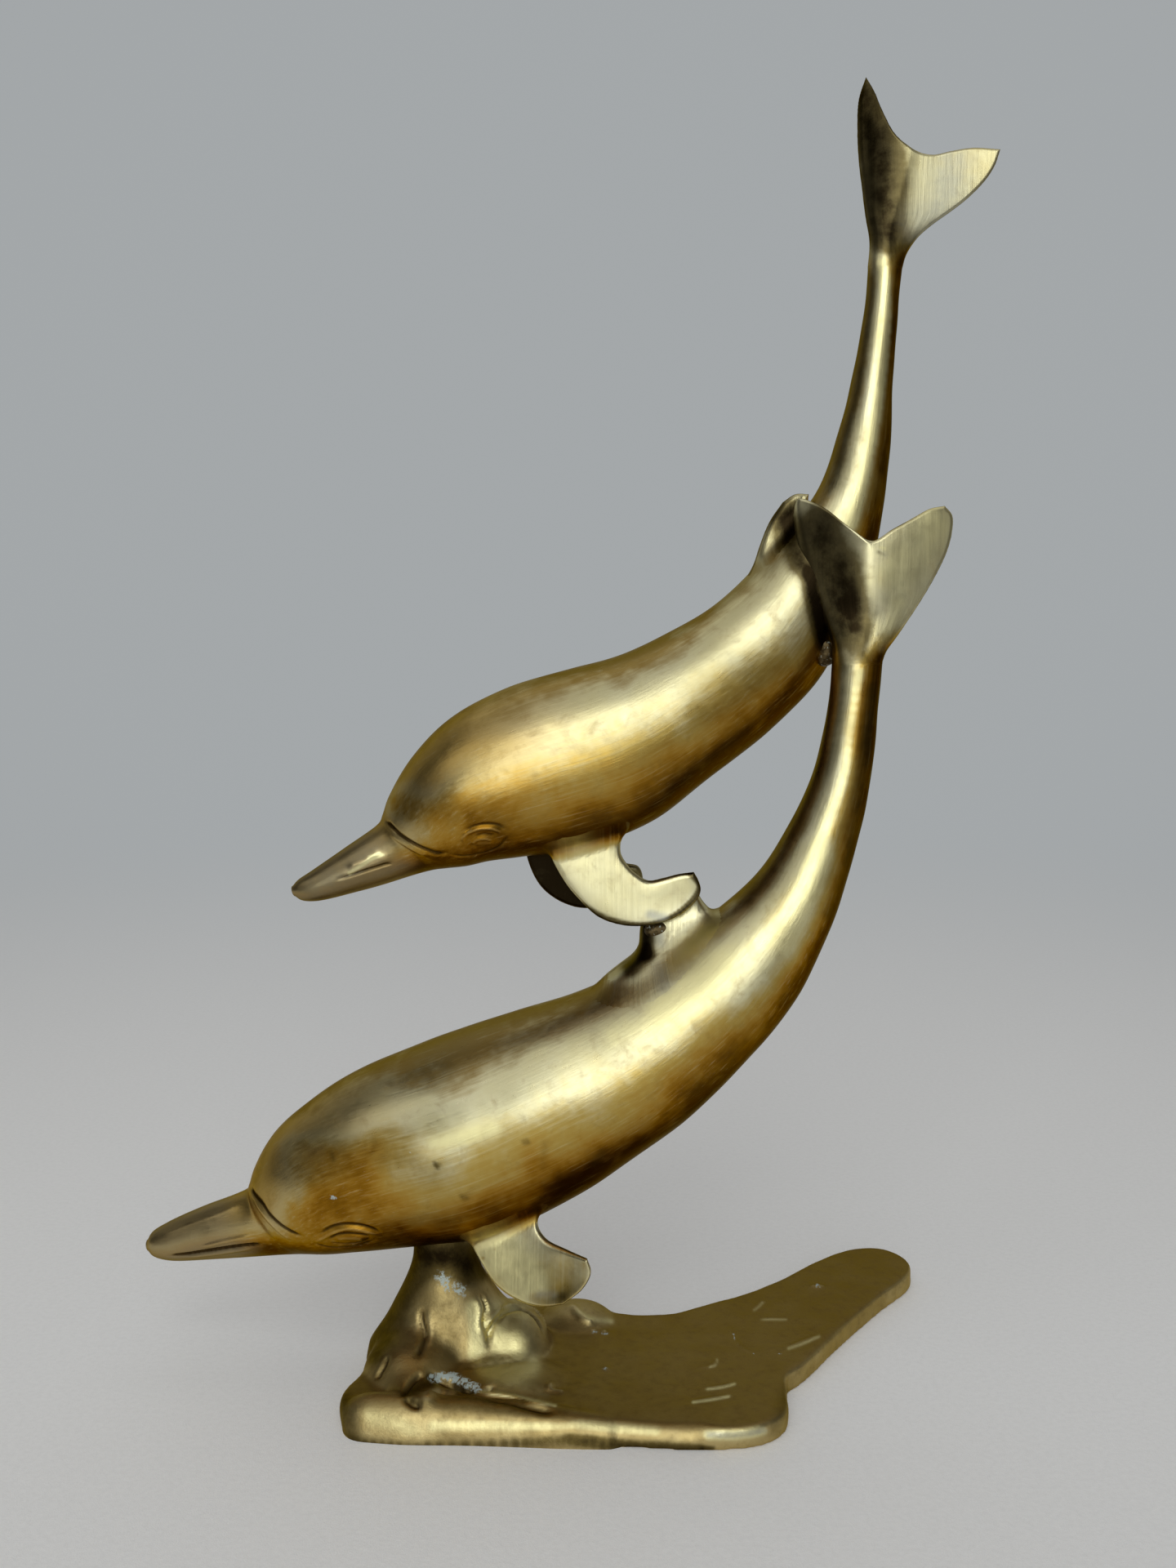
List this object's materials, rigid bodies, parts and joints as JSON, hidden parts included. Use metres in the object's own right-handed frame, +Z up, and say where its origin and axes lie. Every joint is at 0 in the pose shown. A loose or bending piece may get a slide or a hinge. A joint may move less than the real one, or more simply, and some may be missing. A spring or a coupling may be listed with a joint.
{
  "type": "dolphin sculpture",
  "caption": "Free-standing cast brass sculpture of leaping dolphins, the upper one carried on the lower one's dorsal fin and tail, on a rock with a flat tongue-shaped base plate.",
  "frame": {"origin": "on the flat underside, between the rock and the tongue of the base plate", "axes": "+Z up; the dolphins swim towards -X; -Y is their left side, which the picture shows"},
  "size_m": [0.2874, 0.1393, 0.4341],
  "materials": {
    "body_brass": "brushed, with worn patina",
    "base_brass": "dull, with brown patina",
    "braze_filler": "rough",
    "bolt_steel": "satin"
  },
  "bodies": {
    "root": {"wave_base": "base_brass", "base_bolt": "bolt_steel", "bolt_washer": "bolt_steel", "belly_boss": "body_brass", "lower_body_left": "body_brass", "lower_body_right": "body_brass", "lower_dorsal_fin": "body_brass", "lower_flipper_left": "body_brass", "lower_flipper_right": "body_brass", "lower_tail_fluke": "body_brass", "upper_body_left": "body_brass", "upper_body_right": "body_brass", "upper_dorsal_fin": "body_brass", "upper_flipper_left": "body_brass", "upper_flipper_right": "body_brass", "upper_tail_fluke": "body_brass", "dorsal_braze": "braze_filler", "tail_braze": "braze_filler"}
  },
  "joints": []
}
